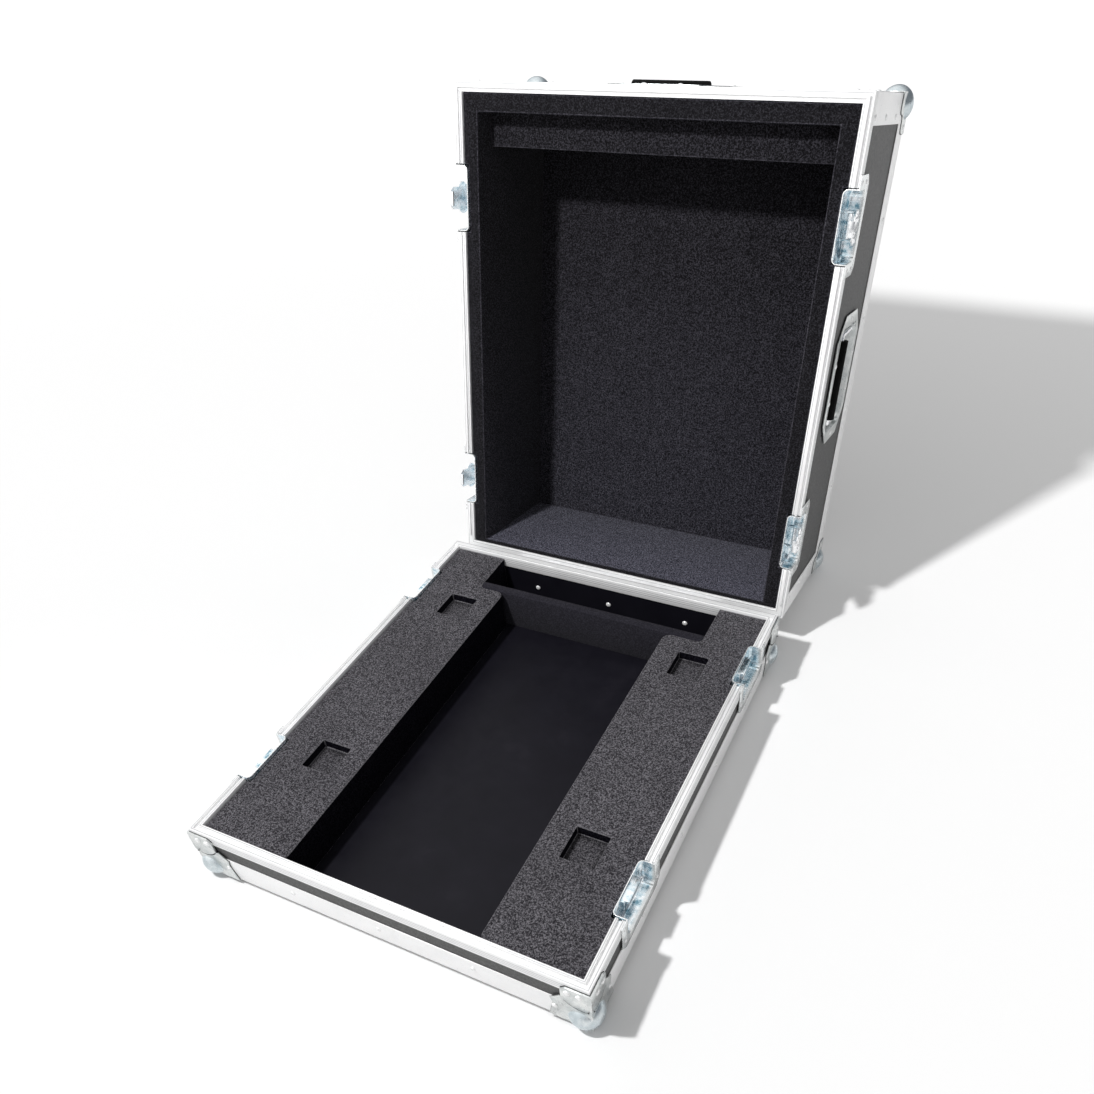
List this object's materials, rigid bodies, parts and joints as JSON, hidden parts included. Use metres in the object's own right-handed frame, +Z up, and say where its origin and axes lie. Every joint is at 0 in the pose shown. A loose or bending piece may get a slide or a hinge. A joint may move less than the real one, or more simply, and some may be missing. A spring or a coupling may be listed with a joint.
{
  "type": "mixer flight case",
  "caption": "Flight case with a shallow foam-fitted base, a deep hinged lid standing open, ball corners, butterfly latches and recessed sprung handles.",
  "frame": {"origin": "middle of the ground that the open case covers, on the ground plane under the ball corners", "axes": "+X to the right of someone at the open front, +Y from the front of the base to the back of the lid, +Z up"},
  "size_m": [0.579, 1.0934, 0.7138],
  "materials": {
    "laminate": "plywood faced with a satin dark grey laminate, fine grain",
    "aluminium": "satin anodised extrusion",
    "zinc": "bright zinc plate",
    "blue_zinc": "blue passivated zinc plate",
    "steel": "plain plated steel",
    "base_foam": "dark grey closed-cell foam",
    "lid_foam": "near black closed-cell foam",
    "rubber": "matt black rubber"
  },
  "bodies": {
    "base": {"base_ball_corner_front_left": "zinc", "base_ball_corner_front_right": "zinc", "base_ball_corner_rear_left": "zinc", "base_ball_corner_rear_right": "zinc", "base_bottom_angle": "aluminium", "base_floor_panel": "laminate", "base_foam_left_front": "base_foam", "base_foam_left_rear": "base_foam", "base_foam_partition": "base_foam", "base_foam_right_front": "base_foam", "base_foam_right_rear": "base_foam", "base_front_wall": "laminate", "base_left_wall": "laminate", "base_rear_wall": "laminate", "base_right_wall": "laminate", "base_rim_front": "aluminium", "base_rim_left": "aluminium", "base_rim_rear": "aluminium", "base_rim_right": "aluminium", "hinge_leaf": "steel", "keeper_dish_left_front": "blue_zinc", "keeper_dish_left_rear": "blue_zinc", "keeper_dish_right_front": "blue_zinc", "keeper_dish_right_rear": "blue_zinc"},
    "lid": {"handle_dish_front": "zinc", "handle_dish_left": "zinc", "handle_dish_right": "zinc", "hinge_strap": "steel", "latch_dish_left_front": "blue_zinc", "latch_dish_left_rear": "blue_zinc", "latch_dish_right_front": "blue_zinc", "latch_dish_right_rear": "blue_zinc", "lid_ball_corner_front_left": "zinc", "lid_ball_corner_front_right": "zinc", "lid_ball_corner_rear_left": "zinc", "lid_ball_corner_rear_right": "zinc", "lid_edge_frame": "aluminium", "lid_foam_ledge": "lid_foam", "lid_foam_lining": "lid_foam", "lid_foam_pad": "lid_foam", "lid_front_wall": "laminate", "lid_left_wall": "laminate", "lid_rear_wall": "laminate", "lid_right_wall": "laminate", "lid_rim_front": "aluminium", "lid_rim_left": "aluminium", "lid_rim_rear": "aluminium", "lid_rim_right": "aluminium", "lid_top_panel": "laminate"},
    "grip_front": {"handle_grip_front": "rubber"},
    "grip_left": {"handle_grip_left": "rubber"},
    "grip_right": {"handle_grip_right": "rubber"},
    "hook_left_front": {"latch_hook_left_front": "blue_zinc"},
    "hook_left_rear": {"latch_hook_left_rear": "blue_zinc"},
    "hook_right_front": {"latch_hook_right_front": "blue_zinc"},
    "hook_right_rear": {"latch_hook_right_rear": "blue_zinc"},
    "wing_left_front": {"latch_wing_left_front": "steel"},
    "wing_left_rear": {"latch_wing_left_rear": "steel"},
    "wing_right_front": {"latch_wing_right_front": "steel"},
    "wing_right_rear": {"latch_wing_right_rear": "steel"}
  },
  "joints": [
    {"name": "lid_swing", "type": "hinge", "parent": "base", "child": "lid", "pos_m": [0, 0.13734, 0.0615], "axis": [1, 0, 0], "range_deg": [0, 102.52]},
    {"name": "hook_tilt_left_front", "type": "hinge", "parent": "lid", "child": "hook_left_front", "pos_m": [-0.271, 0.30641, 0.5725], "axis": [0, 0.2167, 0.9762], "range_deg": [0, 14]},
    {"name": "wing_turn_left_front", "type": "hinge", "parent": "hook_left_front", "child": "wing_left_front", "pos_m": [-0.27861, 0.29619, 0.57477], "axis": [-0.9703, 0.2362, -0.0524], "range_deg": [0, 180]},
    {"name": "hook_tilt_left_rear", "type": "hinge", "parent": "lid", "child": "hook_left_rear", "pos_m": [-0.271, 0.21755, 0.17225], "axis": [0, 0.2167, 0.9762], "range_deg": [0, 14]},
    {"name": "wing_turn_left_rear", "type": "hinge", "parent": "hook_left_rear", "child": "wing_left_rear", "pos_m": [-0.27861, 0.20733, 0.17452], "axis": [-0.9703, 0.2362, -0.0524], "range_deg": [0, 180]},
    {"name": "hook_tilt_right_front", "type": "hinge", "parent": "lid", "child": "hook_right_front", "pos_m": [0.271, 0.30641, 0.5725], "axis": [0, -0.2167, -0.9762], "range_deg": [0, 14]},
    {"name": "wing_turn_right_front", "type": "hinge", "parent": "hook_right_front", "child": "wing_right_front", "pos_m": [0.27861, 0.29619, 0.57477], "axis": [0.9703, 0.2362, -0.0524], "range_deg": [0, 180]},
    {"name": "hook_tilt_right_rear", "type": "hinge", "parent": "lid", "child": "hook_right_rear", "pos_m": [0.271, 0.21755, 0.17225], "axis": [0, -0.2167, -0.9762], "range_deg": [0, 14]},
    {"name": "wing_turn_right_rear", "type": "hinge", "parent": "hook_right_rear", "child": "wing_right_rear", "pos_m": [0.27861, 0.20733, 0.17452], "axis": [0.9703, 0.2362, -0.0524], "range_deg": [0, 180]},
    {"name": "grip_swing_left", "type": "hinge", "parent": "lid", "child": "grip_left", "pos_m": [-0.277, 0.375, 0.35547], "axis": [0, -0.2167, -0.9762], "range_deg": [0, 80], "stiffness_Nm_per_rad": 0.08, "springref_deg": -57.3},
    {"name": "grip_swing_right", "type": "hinge", "parent": "lid", "child": "grip_right", "pos_m": [0.277, 0.375, 0.35547], "axis": [0, 0.2167, 0.9762], "range_deg": [0, 80], "stiffness_Nm_per_rad": 0.08, "springref_deg": -57.3},
    {"name": "grip_swing_front", "type": "hinge", "parent": "lid", "child": "grip_front", "pos_m": [0, 0.44718, 0.68056], "axis": [-1, 0, 0], "range_deg": [0, 80], "stiffness_Nm_per_rad": 0.08, "springref_deg": -57.3}
  ],
  "couplings": [
    {"joint": "hook_tilt_left_front", "follows": "wing_turn_left_front", "ratio": 0.07777},
    {"joint": "hook_tilt_left_rear", "follows": "wing_turn_left_rear", "ratio": 0.07777},
    {"joint": "hook_tilt_right_front", "follows": "wing_turn_right_front", "ratio": 0.07777},
    {"joint": "hook_tilt_right_rear", "follows": "wing_turn_right_rear", "ratio": 0.07777}
  ]
}
